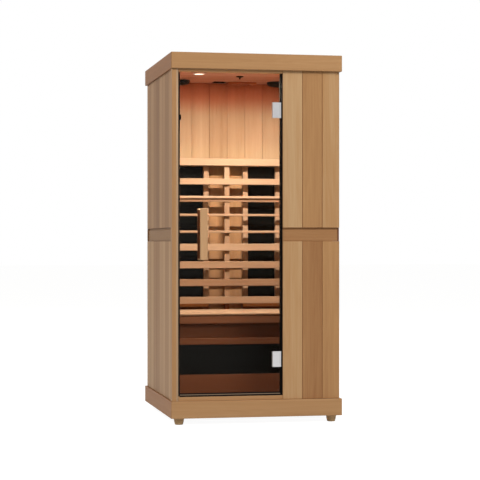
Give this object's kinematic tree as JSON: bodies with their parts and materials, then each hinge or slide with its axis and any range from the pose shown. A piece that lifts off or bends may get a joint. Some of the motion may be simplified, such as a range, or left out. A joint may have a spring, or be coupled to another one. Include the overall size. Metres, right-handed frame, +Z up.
{
  "type": "infrared sauna cabin",
  "caption": "Upright infrared sauna cabin with timber board walls, a hinged glass door, a bench, a slatted backrest and black heating panels inside.",
  "frame": {"origin": "on the ground, under the middle of the whole outline, door handle included", "axes": "+Z up, -Y to the front where the glass door is, +X to the right of someone facing the door"},
  "size_m": [0.92, 0.991, 1.95],
  "materials": {
    "trim_wood": "satin oiled softwood",
    "board_wood": "satin oiled tongue and groove boards",
    "rail_wood": "satin oiled softwood, horizontal grain",
    "lining_wood": "bare softwood boards",
    "bench_wood": "bare softwood, planed",
    "handle_wood": "sanded softwood",
    "roof_wood": "plain board",
    "foot_plastic": "grey-brown moulded",
    "heater_black": "black carbon heating panel",
    "black_plastic": "black moulded",
    "seal_rubber": "black gasket",
    "hinge_steel": "satin nickel",
    "door_glass": "clear tempered glass, faint bronze",
    "lamp_white": "warm white diffuser",
    "button_grey": "light grey cap"
  },
  "bodies": {
    "cabin": {"plinth_front": "trim_wood", "plinth_back": "trim_wood", "plinth_left": "trim_wood", "plinth_right": "trim_wood", "door_post": "trim_wood", "door_header": "trim_wood", "door_sill": "trim_wood", "cornice_front": "trim_wood", "cornice_back": "trim_wood", "cornice_left": "trim_wood", "cornice_right": "trim_wood", "left_wall_boards": "board_wood", "right_wall_boards": "board_wood", "back_wall_boards": "board_wood", "front_panel_boards": "board_wood", "left_wall_rail": "rail_wood", "right_wall_rail": "rail_wood", "front_panel_rail": "rail_wood", "floor_deck": "lining_wood", "left_wall_lining": "lining_wood", "right_wall_lining": "lining_wood", "back_wall_lining": "lining_wood", "front_panel_lining": "lining_wood", "ceiling_panel": "lining_wood", "bench_seat": "bench_wood", "bench_front_panel": "bench_wood", "backrest_guard": "bench_wood", "heater_top_rail": "bench_wood", "heater_frame_left": "bench_wood", "heater_frame_right": "bench_wood", "roof_cover": "roof_wood", "foot_front_left": "foot_plastic", "foot_front_right": "foot_plastic", "foot_back_left": "foot_plastic", "foot_back_right": "foot_plastic", "calf_heater": "heater_black", "back_heater_left": "heater_black", "back_heater_right": "heater_black", "door_catch": "black_plastic", "temperature_sensor": "black_plastic", "speaker_left": "black_plastic", "speaker_right": "black_plastic", "power_supply": "black_plastic", "power_inlet": "black_plastic", "control_panel": "black_plastic", "door_seal": "seal_rubber", "hinge_upper_leaf": "hinge_steel", "hinge_lower_leaf": "hinge_steel", "ceiling_lamp": "lamp_white", "light_strip": "lamp_white"},
    "door": {"door_glass": "door_glass", "hinge_upper_clamp": "hinge_steel", "hinge_lower_clamp": "hinge_steel", "handle_outer": "handle_wood", "handle_inner": "handle_wood"},
    "vent": {"vent_shutter": "bench_wood"},
    "power_button_cap": {"power_button": "button_grey"},
    "light_button_cap": {"light_button": "button_grey"},
    "warmer_button_cap": {"warmer_button": "button_grey"},
    "cooler_button_cap": {"cooler_button": "button_grey"}
  },
  "joints": [
    {"name": "door_hinge", "type": "hinge", "parent": "cabin", "child": "door", "pos_m": [0.1285, -0.4515, 0], "axis": [0, 0, 1], "range_deg": [0, 105]},
    {"name": "vent_slide", "type": "slide", "parent": "cabin", "child": "vent", "axis": [-1, 0, 0], "range_m": [0, 0.08]},
    {"name": "power_button_press", "type": "slide", "parent": "cabin", "child": "power_button_cap", "axis": [0, -1, 0], "range_m": [0, 0.002], "stiffness_N_per_m": 600},
    {"name": "light_button_press", "type": "slide", "parent": "cabin", "child": "light_button_cap", "axis": [0, -1, 0], "range_m": [0, 0.002], "stiffness_N_per_m": 600},
    {"name": "warmer_button_press", "type": "slide", "parent": "cabin", "child": "warmer_button_cap", "axis": [0, -1, 0], "range_m": [0, 0.002], "stiffness_N_per_m": 600},
    {"name": "cooler_button_press", "type": "slide", "parent": "cabin", "child": "cooler_button_cap", "axis": [0, -1, 0], "range_m": [0, 0.002], "stiffness_N_per_m": 600}
  ]
}
